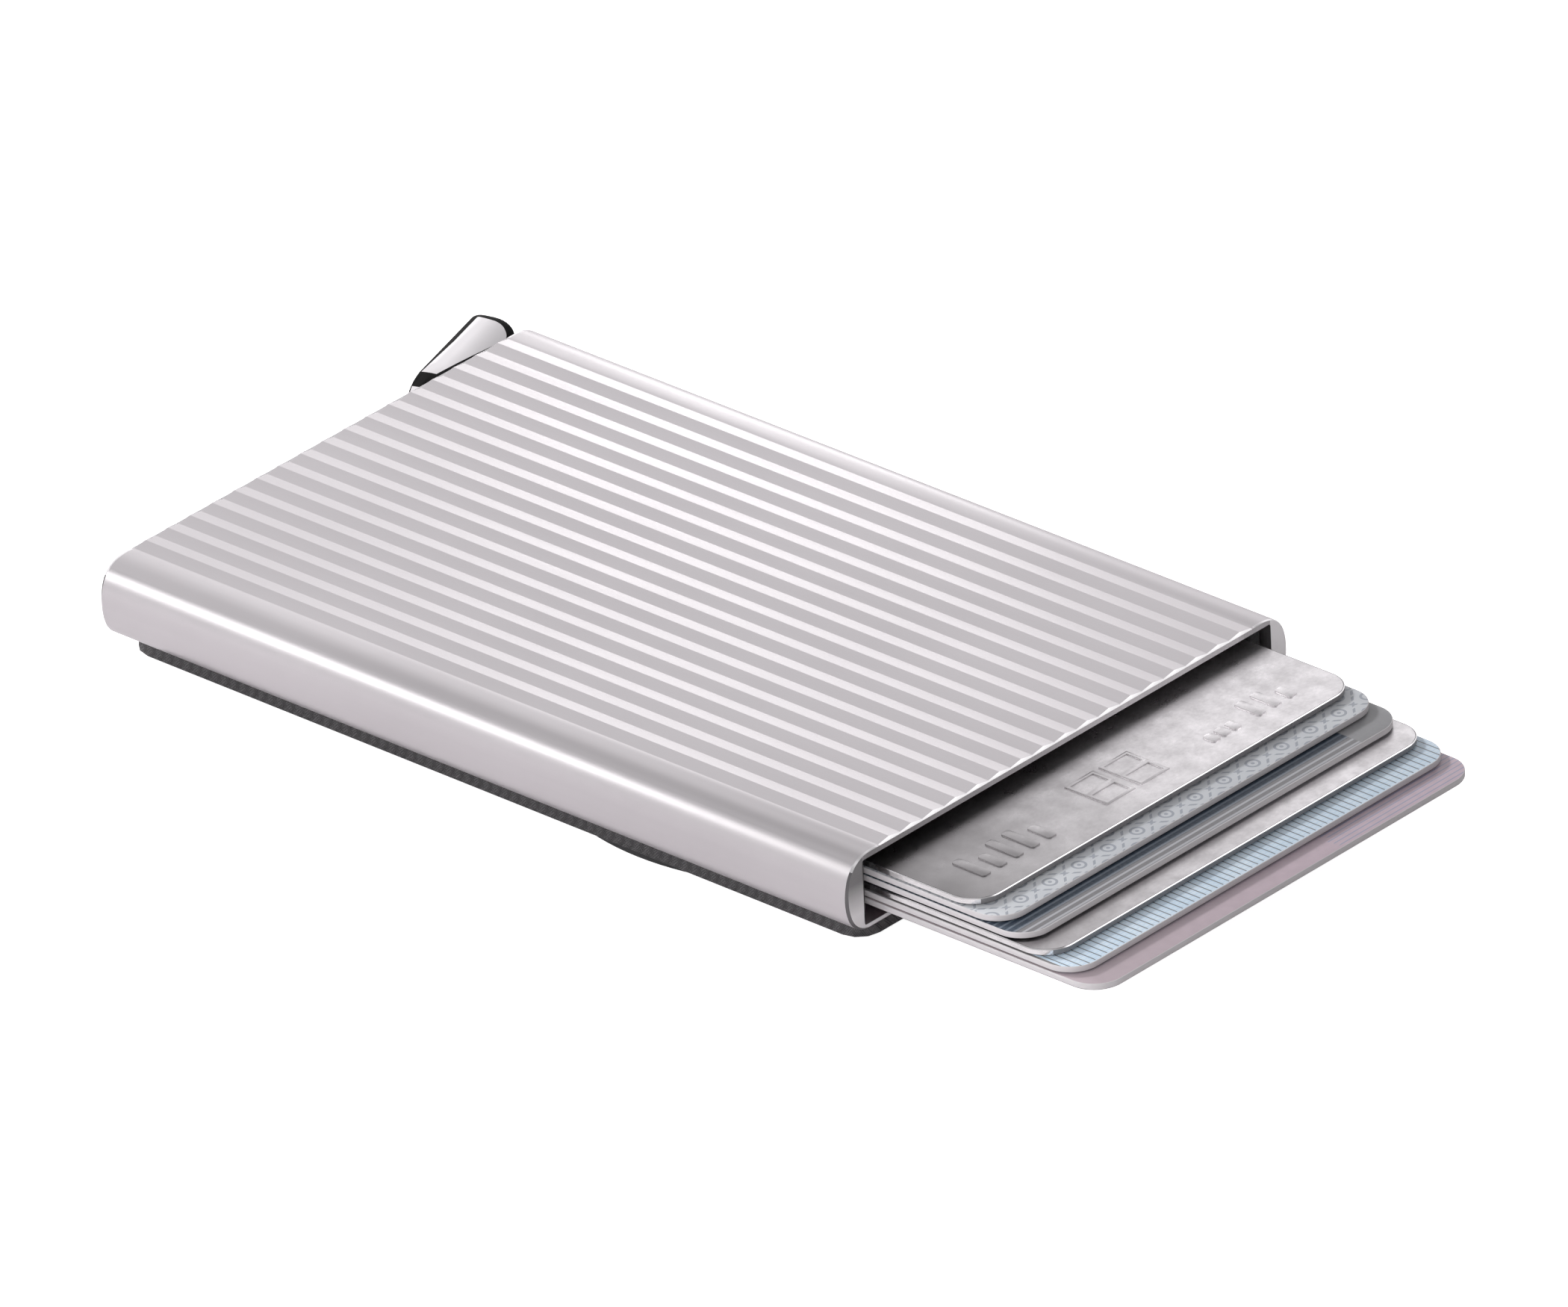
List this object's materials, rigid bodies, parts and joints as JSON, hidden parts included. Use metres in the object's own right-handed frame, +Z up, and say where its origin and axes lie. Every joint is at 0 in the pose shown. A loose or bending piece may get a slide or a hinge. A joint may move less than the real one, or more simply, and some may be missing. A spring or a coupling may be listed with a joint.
{
  "type": "pop up card holder",
  "caption": "Flat aluminium card holder with a ribbed top, a rear finger lever that fans the cards out of the mouth, and a slide plate with a round pad below.",
  "frame": {"origin": "on the round pad's flat underside, below the middle of the sleeve", "axes": "+X out of the mouth, +Y across to the side where the lever stands out, +Z up to the ribbed top"},
  "size_m": [0.1293, 0.0624, 0.0113],
  "materials": {
    "aluminium": "fine matte, bead blasted",
    "chrome": "polished",
    "black_plastic": "matte",
    "texture_plastic": "raised diamond texture",
    "felt": "dark felt",
    "steel": "plain",
    "card_metal": "brushed",
    "card_dark_metal": "mottled",
    "card_light_grey": "printed, semi gloss",
    "card_grey": "printed, semi gloss",
    "card_blue": "printed, semi gloss",
    "card_rose": "printed, semi gloss",
    "magnet_grey": "plated"
  },
  "bodies": {
    "holder": {"sleeve": "aluminium", "end_cap": "black_plastic", "cap_screw_1": "steel", "cap_screw_2": "steel", "near_liner": "felt", "far_liner": "felt", "top_pad": "felt", "bottom_pad": "felt", "pivot_pin": "steel", "friction_washer": "steel", "rail_plate": "black_plastic", "rail_rivet_1": "steel", "rail_rivet_2": "steel", "rail_rivet_3": "steel", "rail_rivet_4": "steel"},
    "lever": {"lever_wedge": "chrome", "lever_arm": "black_plastic", "lever_rivet_1": "steel", "lever_rivet_2": "steel"},
    "card_1": {"card_1": "card_metal"},
    "card_2": {"card_2": "card_light_grey"},
    "card_3": {"card_3": "card_grey"},
    "card_4": {"card_4": "card_dark_metal"},
    "card_5": {"card_5": "card_blue"},
    "card_6": {"card_6": "card_rose"},
    "slide": {"slide_plate": "texture_plastic", "slide_stop": "black_plastic", "magnet_pad": "black_plastic", "magnet_ring": "magnet_grey"}
  },
  "joints": [
    {"name": "lever_swing", "type": "hinge", "parent": "holder", "child": "lever", "pos_m": [-0.044, 0.007, 0.00707], "axis": [0, 0, 1], "range_deg": [-17, 0]},
    {"name": "card_1_slide", "type": "slide", "parent": "holder", "child": "card_1", "axis": [1, 0, 0], "range_m": [-0.01364, 0]},
    {"name": "card_2_slide", "type": "slide", "parent": "holder", "child": "card_2", "axis": [1, 0, 0], "range_m": [-0.01659, 0]},
    {"name": "card_3_slide", "type": "slide", "parent": "holder", "child": "card_3", "axis": [1, 0, 0], "range_m": [-0.01955, 0]},
    {"name": "card_4_slide", "type": "slide", "parent": "holder", "child": "card_4", "axis": [1, 0, 0], "range_m": [-0.0225, 0]},
    {"name": "card_5_slide", "type": "slide", "parent": "holder", "child": "card_5", "axis": [1, 0, 0], "range_m": [-0.02545, 0]},
    {"name": "card_6_slide", "type": "slide", "parent": "holder", "child": "card_6", "axis": [1, 0, 0], "range_m": [-0.0284, 0]},
    {"name": "plate_slide", "type": "slide", "parent": "holder", "child": "slide", "axis": [1, 0, 0], "range_m": [0, 0.03]}
  ],
  "couplings": [
    {"joint": "lever_swing", "follows": "card_4_slide", "rad_per_m": 13.187},
    {"joint": "card_1_slide", "follows": "card_4_slide", "ratio": 0.6062},
    {"joint": "card_2_slide", "follows": "card_4_slide", "ratio": 0.7374},
    {"joint": "card_3_slide", "follows": "card_4_slide", "ratio": 0.8687},
    {"joint": "card_5_slide", "follows": "card_4_slide", "ratio": 1.1312},
    {"joint": "card_6_slide", "follows": "card_4_slide", "ratio": 1.2625}
  ]
}
